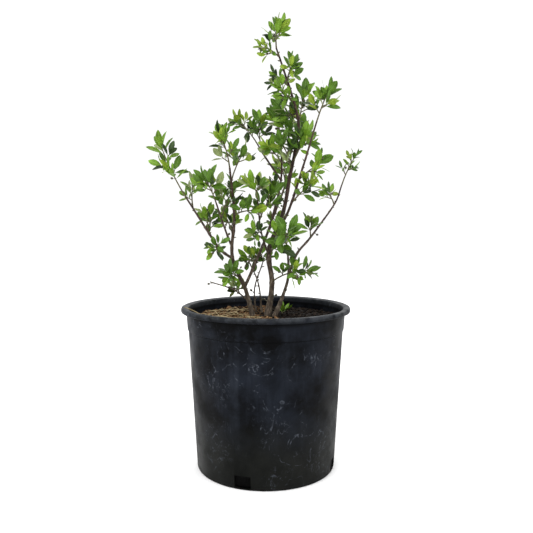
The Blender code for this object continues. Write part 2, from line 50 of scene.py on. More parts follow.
# Materials

def addNode(tree, kind, **settings):
    node = tree.nodes.new(kind)
    for key, value in settings.items():
        setattr(node, key, value)
    return node


def nodeOf(tree, kind, output, inputs, **settings):
    # Each input takes a link from another node, or a value; a colour gets its alpha
    node = addNode(tree, kind, **settings)
    for label, value in inputs.items():
        socket = node.inputs[label]
        if hasattr(value, "is_linked"):
            tree.links.new(value, socket)
        else:
            socket.default_value = (*value, 1.0) if socket.type == "RGBA" else value
    return node.outputs[output]


def newMaterial(name, roughness=0.5, specular=0.5):
    material = bpy.data.materials.new(name)
    material.use_nodes = True
    shader = material.node_tree.nodes["Principled BSDF"]
    shader.inputs["Roughness"].default_value = roughness
    shader.inputs["Specular IOR Level"].default_value = specular
    return material, material.node_tree, shader


def objectPoint(tree, scale=(1, 1, 1)):
    place = addNode(tree, "ShaderNodeTexCoord").outputs["Object"]
    return nodeOf(tree, "ShaderNodeMapping", "Vector", dict(Vector=place, Scale=scale))


def axisOf(tree, point, axis):
    return nodeOf(tree, "ShaderNodeSeparateXYZ", axis, dict(Vector=point))


def noiseOf(tree, point, scale, detail=4.0, roughness=0.55, distortion=0.0):
    inputs = dict(Vector=point, Scale=scale, Detail=detail, Roughness=roughness, Distortion=distortion)
    return nodeOf(tree, "ShaderNodeTexNoise", "Fac", inputs)


def mathOf(tree, operation, *values):
    return nodeOf(tree, "ShaderNodeMath", "Value", dict(enumerate(values)), operation=operation)


def rangeOf(tree, value, low, high, toLow=0.0, toHigh=1.0):
    inputs = {"Value": value, "From Min": low, "From Max": high, "To Min": toLow, "To Max": toHigh}
    return nodeOf(tree, "ShaderNodeMapRange", "Result", inputs, interpolation_type="SMOOTHSTEP")


def rampOf(tree, value, stops):
    # Each stop is a place with a colour or a grey
    ramp = addNode(tree, "ShaderNodeValToRGB")
    elements = ramp.color_ramp.elements
    while len(elements) < len(stops):
        elements.new(0.5)
    for element, (place, colour) in zip(elements, stops):
        element.position = place
        element.color = (*colour, 1.0) if isinstance(colour, tuple) else (colour, colour, colour, 1.0)
    tree.links.new(value, ramp.inputs["Fac"])
    return ramp.outputs["Color"]


def patchesOf(tree, point, noise, band):
    # Black where the noise is under the band, white over it
    return rampOf(tree, noiseOf(tree, point, *noise), [(band[0], 0.0), (band[1], 1.0)])


def mixOf(tree, share, first, second, kind="MIX"):
    inputs = dict(Factor=share, A=first, B=second)
    return nodeOf(tree, "ShaderNodeMix", "Result", inputs, data_type="RGBA", blend_type=kind)


def timesOf(tree, product, *masks):
    for mask in masks:
        product = mixOf(tree, 1.0, product, mask, "MULTIPLY")
    return product


def paint(tree, shader, colour, height=None, bump=()):
    # The bump is the strength and the distance of the height
    tree.links.new(colour, shader.inputs["Base Color"])
    if height is not None:
        inputs = dict(Height=height, Strength=bump[0], Distance=bump[1])
        tree.links.new(nodeOf(tree, "ShaderNodeBump", "Normal", inputs), shader.inputs["Normal"])


# Shapes

def newPiece(name, verts, faces, materials, dealt=None, smooth=True, uvs=None):
    mesh = bpy.data.meshes.new(name)
    mesh.from_pydata([tuple(v) for v in verts], [], faces)
    for material in materials:
        mesh.materials.append(material)
    if dealt is not None:
        mesh.polygons.foreach_set("material_index", dealt)
    mesh.polygons.foreach_set("use_smooth", [smooth] * len(mesh.polygons))
    if uvs is not None:
        layer = mesh.uv_layers.new(name="UVMap")
        corners = np.empty(len(mesh.loops), dtype=np.int64)
        mesh.loops.foreach_get("vertex_index", corners)
        layer.data.foreach_set("uv", np.asarray(uvs, dtype=np.float32)[corners].ravel())
    mesh.update()
    piece = bpy.data.objects.new(name, mesh)
    bpy.context.scene.collection.objects.link(piece)
    return piece


def seat(piece, slotName, *nodes):
    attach(piece, "root")
    if nodes:
        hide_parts(*nodes)


def bakeModifiers(piece):
    graph = bpy.context.evaluated_depsgraph_get()
    shape = bpy.data.meshes.new_from_object(piece.evaluated_get(graph))
    piece.modifiers.clear()
    piece.data = shape


def roundPoint(out, angle):
    return out * math.cos(angle), out * math.sin(angle)


def circle(radius, count):
    return [roundPoint(radius, fullTurn * step / count) for step in range(count)]


def compass(turn):
    return Vector((*roundPoint(1, turn), 0))


def smoothWay(points, spacing, finer=12):
    # A smooth curve through the points, cut into even spans
    ends = [points[0] * 2 - points[1]] + points + [points[-1] * 2 - points[-2]]
    fine = []
    for a, b, c, d in zip(ends, ends[1:], ends[2:], ends[3:]):
        for step in range(finer):
            t = step / finer
            fine.append(((b * 2) + (c - a) * t + (a * 2 - b * 5 + c * 4 - d) * t * t
                         + (b * 3 - a - c * 3 + d) * t * t * t) / 2)
    fine.append(points[-1])
    travelled = [0.0]
    for a, b in zip(fine, fine[1:]):
        travelled.append(travelled[-1] + (b - a).length)
    spans = max(2, round(travelled[-1] / spacing))
    way, index = [], 0
    for span in range(spans):
        goal = travelled[-1] * span / spans
        while travelled[index + 1] < goal:
            index += 1
        share = (goal - travelled[index]) / (travelled[index + 1] - travelled[index])
        way.append(fine[index].lerp(fine[index + 1], share))
    return way + [points[-1]]


def headingsOf(way):
    return [(after - before).normalized() for before, after in zip([way[0]] + way[:-1], way[1:] + [way[-1]])]


def framesOf(headings):
    # Two directions across each heading, carried along without a twist
    across, frames = headings[0].orthogonal().normalized(), []
    for heading in headings:
        across = (across - heading * across.dot(heading)).normalized()
        frames.append((across, heading.cross(across)))
    return frames


def squareTo(heading, turn):
    # A direction square to the heading, turned round it
    across = heading.orthogonal().normalized()
    return across * math.cos(turn) + heading.cross(across) * math.sin(turn)


def placeOn(way, height):
    for low, high in zip(way, way[1:]):
        if low.z <= height <= high.z:
            return low.lerp(high, (height - low.z) / (high.z - low.z)), (high - low).normalized()
    raise ValueError("no point of the limb is %.3f m high" % height)


def tube(way, radii, sides, flatFoot=False, relief=None):
    headings = headingsOf(way)
    if flatFoot:
        headings[0] = zAxis.copy()
    verts, faces = [], [tuple(range(sides - 1, -1, -1))]
    for ring, (point, (across, other), radius) in enumerate(zip(way, framesOf(headings), radii)):
        for side in range(sides):
            angle = fullTurn * side / sides
            grown = radius * (1 + relief(ring, angle)) if relief else radius
            verts.append(point + (across * math.cos(angle) + other * math.sin(angle)) * grown)
    for low in range(0, (len(way) - 1) * sides, sides):
        for side in range(sides):
            after = (side + 1) % sides
            faces.append((low + side, low + after, low + sides + after, low + sides + side))
    faces.append(tuple(range(len(verts) - sides, len(verts))))
    return verts, faces


def treeOf(verts, faces):
    return BVHTree.FromPolygons([tuple(v) for v in verts], faces)


class Heap:
    # Collects many small shapes into one mesh, with a material number for each
    def __init__(self):
        self.verts, self.faces, self.dealt, self.uvs = [], [], [], []

    def add(self, shape, tone=0, uvs=None):
        first = len(self.verts)
        self.verts += [tuple(v) for v in shape[0]]
        self.faces += [tuple(first + corner for corner in face) for face in shape[1]]
        self.dealt += [tone] * len(shape[1])
        self.uvs += uvs or [(0.0, 0.0)] * len(shape[0])

    def piece(self, name, materials):
        return newPiece(name, self.verts, self.faces, materials, self.dealt, uvs=self.uvs)


# Pot

potSizes = dict(height=0.2545, rim=0.133, shoulder=0.1232, foot=0.109, wall=0.0024, floor=0.004, lip=0.0078,
                collarDrop=0.035, footRound=0.003, insideDrop=0.004, segments=144, sharpFrom=32,
                notches=4, notchWidth=0.025, notchHeight=0.0185, notchSill=0.0025, notchDepth=0.012,
                firstNotch=-18)
# Steps out and up from each corner of the turned outline; they round it off
potCorners = dict(
    foot=[(-0.0030, 0.0), (-0.0009, 0.0006)],
    collar=[(0.0, 0.0), (0.00112, 0.0006), (0.0014, 0.0016)],
    shoulder=[(0.0014, -0.0015), (0.0030, 0.0)],
    lipFoot=[(-0.0026, 0.0), (-0.0006, 0.0010), (0.0, 0.0026)],
    lipTop=[(-0.0003, -0.0024), (-0.0010, -0.0008), (-0.0026, 0.0), (-0.0068, 0.0)],
    lipInside=[(0.0016, -0.0016), (0.0006, -0.0040)])
# Patches are a noise (scale, detail, roughness) and its band; scuffs are wisps (scale, distortion, band) in
# patches, and their tone
potFinish = dict(
    specular=0.045, gloss=((30.0, 4.0), (0.3, 0.7), (0.36, 0.58)), grain=(700.0, 3.0),
    grainBump=(0.15, 0.0004),
    haze=((12.0, 10.0, 0.66), (0.40, 0.68)), hazeTones=((0.0006, 0.0007, 0.0010), (0.0092, 0.0118, 0.0178)),
    streaks=((1.0, 4.0), (0.45, 0.75)), streakStretch=(70, 70, 3), streakTone=(0.0185, 0.0220, 0.0300),
    green=(20.0, 7.0, 0.6), greenTones=[(0.35, (0.0030, 0.0034, 0.0030)), (0.70, (0.0100, 0.0106, 0.0094))],
    greenTop=(0.03, 0.13),
    wispStretch=(1, 1, 0.8), wispNoise=(3.0, 0.5),
    scuffs=[((26.0, 1.2, 0.016), ((11.0, 3.0), (0.48, 0.60)), (0.055, 0.062, 0.076)),
            ((70.0, 1.4, 0.014), ((17.0, 2.0), (0.52, 0.62)), (0.048, 0.054, 0.066))],
    broken=((130.0, 4.0, 0.7), (0.46, 0.60)),
    # Lighter wear and a painted highlight on the lip, strongest at its top edge
    wearAndHighlight=((55.0, 5.0, 0.7), (0.35, 0.75)), wearAndHighlightTone=(0.055, 0.060, 0.066), wearAndHighlightEdge=(0.006, 0.001, 0.25),
    # Painted shade in the step under the collar and in the corner under the lip
    wearAndHighlightFade=0.001, collarReach=0.004, collarPaintedShade=[(0.30, 1.0), (0.46, 0.0), (0.62, 1.0)],
    lipReach=(0.012, 0.002), lipPaintedShade=[(0.30, 1.0), (0.80, 0.15), (0.95, 1.0)])


def wallRadius(height):
    s = potSizes
    return s["foot"] + (s["shoulder"] - s["foot"]) * height / (s["height"] - s["lip"])


def turned(profile, segments):
    verts, rings, faces = [], [], []
    for radius, height in profile:
        count = segments if radius else 1
        rings.append([len(verts) + step % count for step in range(segments)])
        verts += [Vector((x, y, height)) for x, y in circle(radius, count)]
    for lower, upper in zip(rings, rings[1:]):
        for step in range(segments):
            after = (step + 1) % segments
            corners = [lower[step], lower[after], upper[after], upper[step]]
            face = [c for i, c in enumerate(corners) if c not in corners[:i]]
            if len(face) > 2:
                faces.append(face)
    return verts, faces


def wispsOf(tree, scale, distortion, band):
    # Thin curling lines where a warped noise passes its middle value
    f = potFinish
    noise = noiseOf(tree, objectPoint(tree, f["wispStretch"]), scale, *f["wispNoise"], distortion)
    return rampOf(tree, noise, [(0.5 - band, 0.0), (0.5, 1.0), (0.5 + band, 0.0)])


def potPlastic():
    f, s = potFinish, potSizes
    material, tree, shader = newMaterial("potPlastic", specular=f["specular"])
    point = objectPoint(tree)
    height = axisOf(tree, point, "Z")
    lipLow, collarLow = s["height"] - s["lip"], s["height"] - s["collarDrop"]
    # Haze and streaks above, a greenish black below
    haze = patchesOf(tree, point, *f["haze"])
    colour = mixOf(tree, haze, *f["hazeTones"])
    streaks = patchesOf(tree, objectPoint(tree, f["streakStretch"]), *f["streaks"])
    colour = mixOf(tree, timesOf(tree, streaks, haze), colour, f["streakTone"])
    green = rampOf(tree, noiseOf(tree, point, *f["green"]), f["greenTones"])
    colour = mixOf(tree, rangeOf(tree, height, *f["greenTop"]), green, colour)
    # Broken scuffs and scratches
    broken = patchesOf(tree, point, *f["broken"])
    for wisps, patches, tone in f["scuffs"]:
        rubbed = timesOf(tree, wispsOf(tree, *wisps), patchesOf(tree, point, *patches), broken)
        colour = mixOf(tree, rubbed, colour, tone)
    # Wear and a painted highlight on the lip, most of it at its top edge
    low, high, least = f["wearAndHighlightEdge"]
    edge = rangeOf(tree, height, s["height"] - low, s["height"] - high, least, 1.0)
    onLip = rangeOf(tree, height, lipLow - f["wearAndHighlightFade"], lipLow)
    wearAndHighlight = timesOf(tree, patchesOf(tree, point, *f["wearAndHighlight"]), edge, onLip)
    colour = mixOf(tree, wearAndHighlight, colour, f["wearAndHighlightTone"])
    # Painted shade darkens the step under the collar and the corner under the lip
    reach, (below, above) = f["collarReach"], f["lipReach"]
    underCollar = rampOf(tree, rangeOf(tree, height, collarLow - reach, collarLow + reach), f["collarPaintedShade"])
    underLip = rampOf(tree, rangeOf(tree, height, lipLow - below, lipLow + above), f["lipPaintedShade"])
    colour = timesOf(tree, colour, underCollar, underLip)
    paint(tree, shader, colour, noiseOf(tree, point, *f["grain"]), f["grainBump"])
    noise, band, roughness = f["gloss"]
    tree.links.new(rangeOf(tree, noiseOf(tree, point, *noise), *band, *roughness), shader.inputs["Roughness"])
    return material


def potOutline():
    s = potSizes
    lipLow, collarLow = s["height"] - s["lip"], s["height"] - s["collarDrop"]
    insideTop = s["shoulder"] - s["wall"]

    def corner(name, radius, height):
        return [(radius + out, height + up) for out, up in potCorners[name]]

    return [(0, 0), *corner("foot", s["foot"], 0), (wallRadius(s["footRound"]), s["footRound"]),
            *corner("collar", wallRadius(collarLow), collarLow), *corner("shoulder", s["shoulder"], lipLow),
            *corner("lipFoot", s["rim"], lipLow), *corner("lipTop", s["rim"], s["height"]),
            *corner("lipInside", insideTop, s["height"]), (insideTop, lipLow - s["insideDrop"]),
            (wallRadius(s["floor"]) - s["wall"], s["floor"]), (0, s["floor"])]


def cutNotch(pot, turn):
    s = potSizes
    aside = compass(turn)
    ahead = Vector((aside.y, -aside.x, 0))
    inner, outer, half = s["foot"] - s["notchDepth"], s["foot"] + s["notchDepth"], s["notchWidth"] / 2
    outline = ((inner, -half), (outer, -half), (outer, half), (inner, half))
    verts = [ahead * out + aside * side + zAxis * rise
             for rise in (s["notchSill"], s["notchSill"] + s["notchHeight"]) for out, side in outline]
    faces = [(3, 2, 1, 0), (4, 5, 6, 7), (0, 1, 5, 4), (1, 2, 6, 5), (2, 3, 7, 6), (3, 0, 4, 7)]
    cutter = newPiece("notch", verts, faces, [])
    cut = pot.modifiers.new("cut", "BOOLEAN")
    cut.operation, cut.solver, cut.object = "DIFFERENCE", "EXACT", cutter
    bakeModifiers(pot)
    bpy.data.objects.remove(cutter, do_unlink=True)


def makePot():
    s = potSizes
    pot = newPiece("nurseryPot", *turned(potOutline(), s["segments"]), [potPlastic()], smooth=False)
    for index in range(s["notches"]):
        cutNotch(pot, math.radians(s["firstNotch"] + index * 360 / s["notches"]))
    pot.data.shade_smooth()
    pot.data.set_sharp_from_angle(angle=math.radians(s["sharpFrom"]))
    seat(pot, "pot_plastic", "pot")


makePot()
print("pot done")


# Soil and bark chips

soilSizes = dict(drop=0.017, gap=0.0003, rings=46, segments=150, edgeDrop=0.002, sideHeights=(0.16, 0.08),
                 levelRadius=0.020, rise=0.03, uneven=0.0016, sink=0.75, lumpShare=0.35)
soilTop = potSizes["height"] - soilSizes["drop"]
soilTones = ((0.0020, 0.0018, 0.0016), (0.0070, 0.0058, 0.0050), (0.0300, 0.0230, 0.0170))
mixFinish = dict(roughness=0.92, specular=0.08, grain=(170.0, 5.0, 0.65), places=(0.30, 0.52, 0.74),
                 lumps=(520.0, 4.0), bump=(0.6, 0.0012), shade=(0.0006, 0.0006, 0.0006),
                 shadeDepths=(0.030, 0.012))

chipKinds = {
    "dryChips": dict(count=700, seed=3, long=0.0150, wide=0.0052, thick=0.0018, middle=200, finish="dryBark",
                     tones=((0.020, 0.011, 0.006), (0.130, 0.072, 0.034), (0.400, 0.260, 0.135))),
    "darkChips": dict(count=900, seed=5, long=0.0095, wide=0.0050, thick=0.0022, middle=20, finish="wetBark",
                      tones=((0.0028, 0.0022, 0.0018), (0.0100, 0.0070, 0.0050), (0.0550, 0.0350, 0.0210))),
}
chipShape = dict(spread=(0.35, 1.25), turnFrom=(-0.6, -0.75, 0.0), turnTo=(0.6, 0.75, 6.283),
                 lumpScale=330.0, lumpSize=0.0042)
chipFan = dict(steps=30, rings=8, spread=230, near=0.010, reach=0.104, lift=0.0004)


def soilRadius(height):
    return wallRadius(height) - potSizes["wall"] - soilSizes["gap"]


def soilHeight(x, y):
    # Low lumps everywhere but where the stems stand
    s = soilSizes
    lumps = (math.sin(71 * x + 1.3) * math.sin(63 * y + 0.4) + 0.6 * math.sin(151 * x - 97 * y)
             + 0.4 * math.sin(290 * y + 133 * x + 2.0))
    share = min(1.0, max(0.0, (math.hypot(x, y) - s["levelRadius"]) / s["rise"]))
    return soilTop - s["uneven"] * share * (s["sink"] - lumps * s["lumpShare"])


def mixMaterial(name, tones):
    f = mixFinish
    material, tree, shader = newMaterial(name, f["roughness"], f["specular"])
    point = objectPoint(tree)
    ground = rampOf(tree, noiseOf(tree, point, *f["grain"]), list(zip(f["places"], tones)))
    # Below the surface the mix lies in the dark behind the drain notches
    deep, shallow = f["shadeDepths"]
    lit = rangeOf(tree, axisOf(tree, point, "Z"), soilTop - deep, soilTop - shallow)
    paint(tree, shader, mixOf(tree, lit, f["shade"], ground), noiseOf(tree, point, *f["lumps"]), f["bump"])
    return material


def makeSoil():
    s = soilSizes
    count = s["segments"]
    verts, faces = [(0, 0, soilHeight(0, 0))], []
    for ring in range(1, s["rings"] + 1):
        out = soilRadius(soilTop - s["edgeDrop"]) * ring / s["rings"]
        verts += [(x, y, soilHeight(x, y)) for x, y in circle(out, count)]
    for height in (*s["sideHeights"], potSizes["floor"] + s["gap"]):
        verts += [(x, y, height) for x, y in circle(soilRadius(height), count)]
    for step in range(count):
        after = (step + 1) % count
        faces.append((0, 1 + step, 1 + after))
        for low in range(1, len(verts) - count, count):
            faces.append((low + step, low + count + step, low + count + after, low + after))
    faces.append(tuple(range(len(verts) - 1, len(verts) - 1 - count, -1)))
    seat(newPiece("pottingMix", verts, faces, [mixMaterial("moistMix", soilTones)]), "potting_mix", "soil")


def chipTree(material):
    # Scatters lumpy, flattened balls over a face, in random sizes and turns
    c = chipShape
    tree = bpy.data.node_groups.new("scatterChips", "GeometryNodeTree")
    newSocket = tree.interface.new_socket
    newSocket("Geometry", in_out="INPUT", socket_type="NodeSocketGeometry")
    newSocket("Seed", in_out="INPUT", socket_type="NodeSocketInt")
    for label in ("Count per m2", "Long", "Wide", "Thick"):
        newSocket(label, in_out="INPUT", socket_type="NodeSocketFloat")
    newSocket("Geometry", in_out="OUTPUT", socket_type="NodeSocketGeometry")
    start = addNode(tree, "NodeGroupInput").outputs
    low, high = c["spread"]
    points = nodeOf(tree, "GeometryNodeDistributePointsOnFaces", "Points",
                    dict(Mesh=start["Geometry"], Density=start["Count per m2"], Seed=start["Seed"]))
    chip = nodeOf(tree, "GeometryNodeMeshIcoSphere", "Mesh", dict(Radius=0.5, Subdivisions=1))
    sizes = nodeOf(tree, "ShaderNodeCombineXYZ", "Vector",
                   dict(X=start["Long"], Y=start["Wide"], Z=start["Thick"]))
    spread = nodeOf(tree, "FunctionNodeRandomValue", "Value",
                    dict(Min=low, Max=high, Seed=start["Seed"]), data_type="FLOAT")
    turn = nodeOf(tree, "FunctionNodeRandomValue", "Value",
                  dict(Min=c["turnFrom"], Max=c["turnTo"], Seed=start["Seed"]), data_type="FLOAT_VECTOR")
    grown = nodeOf(tree, "ShaderNodeVectorMath", "Vector", {0: sizes, "Scale": spread}, operation="SCALE")
    placed = nodeOf(tree, "GeometryNodeInstanceOnPoints", "Instances",
                    dict(Points=points, Instance=chip, Rotation=turn, Scale=grown))
    real = nodeOf(tree, "GeometryNodeRealizeInstances", "Geometry", dict(Geometry=placed))
    noise = nodeOf(tree, "ShaderNodeTexNoise", "Color", dict(Scale=c["lumpScale"]))
    shift = nodeOf(tree, "ShaderNodeVectorMath", "Vector", {0: noise, 1: (0.5, 0.5, 0.5)},
                   operation="SUBTRACT")
    small = nodeOf(tree, "ShaderNodeVectorMath", "Vector", {0: shift, "Scale": c["lumpSize"]},
                   operation="SCALE")
    ragged = nodeOf(tree, "GeometryNodeSetPosition", "Geometry", dict(Geometry=real, Offset=small))
    finished = nodeOf(tree, "GeometryNodeSetMaterial", "Geometry", dict(Geometry=ragged, Material=material))
    tree.links.new(finished, addNode(tree, "NodeGroupOutput").inputs["Geometry"])
    return tree


def makeChips(name, kind):
    # A fan of soil surface on one side carries the chips
    f = chipFan
    steps, rings = f["steps"], f["rings"]
    verts, faces = [], []
    for ring in range(rings + 1):
        out = f["near"] + f["reach"] * ring / rings
        for step in range(steps + 1):
            angle = math.radians(kind["middle"]) + math.radians(f["spread"] * step / steps - f["spread"] / 2)
            x, y = roundPoint(out, angle)
            verts.append((x, y, soilHeight(x, y) + f["lift"]))
    for ring in range(rings):
        for step in range(steps):
            low = ring * (steps + 1) + step
            faces.append((low, low + steps + 1, low + steps + 2, low + 1))
    material = mixMaterial(kind["finish"], kind["tones"])
    piece = newPiece(name, verts, faces, [material])
    area = math.pi * (f["near"] + f["reach"]) ** 2 * f["spread"] / 360
    modifier = piece.modifiers.new("scatter", "NODES")
    modifier.node_group = chipTree(material)
    values = {"Count per m2": kind["count"] / area, "Seed": kind["seed"], "Long": kind["long"],
              "Wide": kind["wide"], "Thick": kind["thick"]}
    for item in modifier.node_group.interface.items_tree:
        if item.in_out == "INPUT" and item.name in values:
            modifier[item.identifier] = values[item.name]
    bakeModifiers(piece)
    seat(piece, "potting_mix")


makeSoil()
for chipName, chipKind in chipKinds.items():
    makeChips(chipName, chipKind)
print("soil and chips done")


# Limbs

# Foot on the soil, or parent and height of the fork; way to the tip; radii at both ends; flare of the foot
limbSizes = {
    "trunk": ((0.003, 0.002), [(0.010, 0.003, 0.287), (0.005, 0.001, 0.328), (0.008, 0.003, 0.354),
        (0.027, 0.009, 0.400), (0.038, 0.014, 0.456), (0.050, 0.010, 0.522), (0.048, 0.004, 0.557),
        (0.025, -0.008, 0.625), (0.016, -0.010, 0.650)], (0.0044, 0.0013), 0.0022),
    "stem_left": ((-0.021, 0.004), [(-0.032, 0.000, 0.281), (-0.052, -0.010, 0.333),
        (-0.048, -0.022, 0.397), (-0.054, -0.035, 0.468)], (0.0035, 0.0015), 0.0016),
    "stem_crossing": (("stem_left", 0.284), [(-0.018, 0.010, 0.318), (0.006, 0.032, 0.378),
        (0.025, 0.048, 0.455), (0.025, 0.058, 0.521)], (0.0026, 0.0013)),
    "stem_leaning": (("trunk", 0.340), [(0.019, -0.008, 0.374), (0.035, -0.020, 0.404),
        (0.055, -0.040, 0.467), (0.074, -0.057, 0.532)], (0.0024, 0.0012)),
    "stem_right": ((0.0135, -0.007), [(0.028, -0.002, 0.273), (0.036, 0.005, 0.303), (0.035, 0.013, 0.342)],
        (0.0030, 0.0016), 0.0012),
    "bough_right": (("stem_right", 0.304), [(0.050, 0.016, 0.336), (0.070, 0.035, 0.358),
        (0.090, 0.048, 0.383), (0.116, 0.062, 0.419), (0.127, 0.068, 0.448)], (0.0021, 0.0012)),
    "bough_high_left": (("stem_crossing", 0.455), [(-0.004, 0.061, 0.498), (-0.013, 0.066, 0.514)],
        (0.0018, 0.0012)),
    "bough_far_left": (("stem_left", 0.329), [(-0.072, -0.006, 0.345), (-0.094, 0.000, 0.377),
        (-0.124, 0.007, 0.423)], (0.0022, 0.0014)),
    "bough_front_left": (("stem_left", 0.347), [(-0.062, -0.026, 0.376), (-0.075, -0.042, 0.418)],
        (0.0017, 0.0011)),
    "bough_front": (("trunk", 0.332), [(-0.007, -0.020, 0.372), (-0.012, -0.044, 0.420)], (0.0016, 0.0010)),
    "bough_back": (("stem_crossing", 0.382), [(0.030, 0.075, 0.440), (0.057, 0.103, 0.516)],
        (0.0020, 0.0012)),
    "twig_low_left": (("stem_left", 0.262), [(-0.053, 0.022, 0.278), (-0.092, 0.044, 0.288)],
        (0.0014, 0.0009)),
    "sucker_middle": ((-0.006, 0.024), [(-0.012, 0.021, 0.288), (-0.028, 0.015, 0.326)], (0.0013, 0.0009),
        0.0006),
    "sucker_back": ((-0.016, 0.032), [(-0.018, 0.031, 0.279), (-0.005, 0.032, 0.320)], (0.0012, 0.0009),
        0.0006),
}
barkSizes = dict(ringSpacing=0.022, fineSpacing=0.0022, sides=14, flareHeight=0.016, seed=40,
                 relief=0.060, ribs=[(3, 0.23, 0.5), (5, -0.41, 0.3), (2, 1.7, 0.3)], knotSwell=0.121,
                 knotWidth=1.1, knotSpan=(0.1, 0.95), ringsPerKnot=9)
barkFinish = dict(
    roughness=0.78, specular=0.3, mottle=(330.0, 5.0, 0.6), mottleStretch=(1, 1, 0.35),
    young=[(0.30, (0.012, 0.006, 0.005)), (0.55, (0.042, 0.022, 0.016)), (0.78, (0.130, 0.085, 0.060))],
    old=[(0.28, (0.016, 0.011, 0.008)), (0.52, (0.070, 0.052, 0.036)), (0.76, (0.240, 0.200, 0.150))],
    ages=(0.26, 0.44), cracks=(620.0, 4.0), crackStretch=(1, 1, 2.6), crackBump=(0.5, 0.0007))


def barkMaterial():
    f = barkFinish
    material, tree, shader = newMaterial("cherryBark", f["roughness"], f["specular"])
    mottle = noiseOf(tree, objectPoint(tree, f["mottleStretch"]), *f["mottle"])
    high = rangeOf(tree, axisOf(tree, objectPoint(tree), "Z"), *f["ages"])
    bark = mixOf(tree, high, rampOf(tree, mottle, f["old"]), rampOf(tree, mottle, f["young"]))
    cracks = noiseOf(tree, objectPoint(tree, f["crackStretch"]), *f["cracks"])
    paint(tree, shader, bark, cracks, f["crackBump"])
    return material


def growLimb(limbs, place, bends, radii, flare=0.0):
    onSoil = place[0] not in limbs
    if onSoil:
        start = Vector((*place, soilTop + soilSizes["gap"]))
    else:
        start = placeOn(limbs[place[0]]["way"], place[1])[0]
    points = [start] + [Vector(bend) for bend in bends]
    way = smoothWay(points, barkSizes["ringSpacing"])
    fine = smoothWay(points, barkSizes["fineSpacing"])

    def widthsOf(run):
        return [radii[0] + (radii[1] - radii[0]) * ring / (len(run) - 1)
                + flare * math.exp(-(point.z - start.z) / barkSizes["flareHeight"])
                for ring, point in enumerate(run)]

    return dict(way=way, fine=fine, onSoil=onSoil, radii=widthsOf(way), fineRadii=widthsOf(fine))


def barkRelief(seed, rings):
    # Low ribs (count, winding, share) round the limb, and knots at odd heights
    s = barkSizes
    rng = random.Random(seed)
    phases = [rng.uniform(*anyTurn) for _ in range(4)]
    knots = [rng.uniform(*s["knotSpan"]) * rings for _ in range(rings // s["ringsPerKnot"])]

    def relief(ring, angle):
        ribs = sum(math.sin(count * angle + phase + ring * winding) * share
                   for (count, winding, share), phase in zip(s["ribs"], phases))
        swells = sum(s["knotSwell"] * math.exp(-((ring - knot) / s["knotWidth"]) ** 2) for knot in knots)
        return s["relief"] * ribs + swells

    return relief


def makeLimbs():
    limbs = {}
    bark = barkMaterial()
    for index, (name, sizes) in enumerate(limbSizes.items()):
        limb = growLimb(limbs, *sizes)
        relief = barkRelief(barkSizes["seed"] + index, len(limb["fine"]))
        shape = tube(limb["fine"], limb["fineRadii"], barkSizes["sides"], limb["onSoil"], relief)
        seat(newPiece("bark_" + name, *shape, [bark]), "bark", name)
        limbs[name] = limb
    return limbs


limbs = makeLimbs()
print("limbs done")


# Shoots and leaves

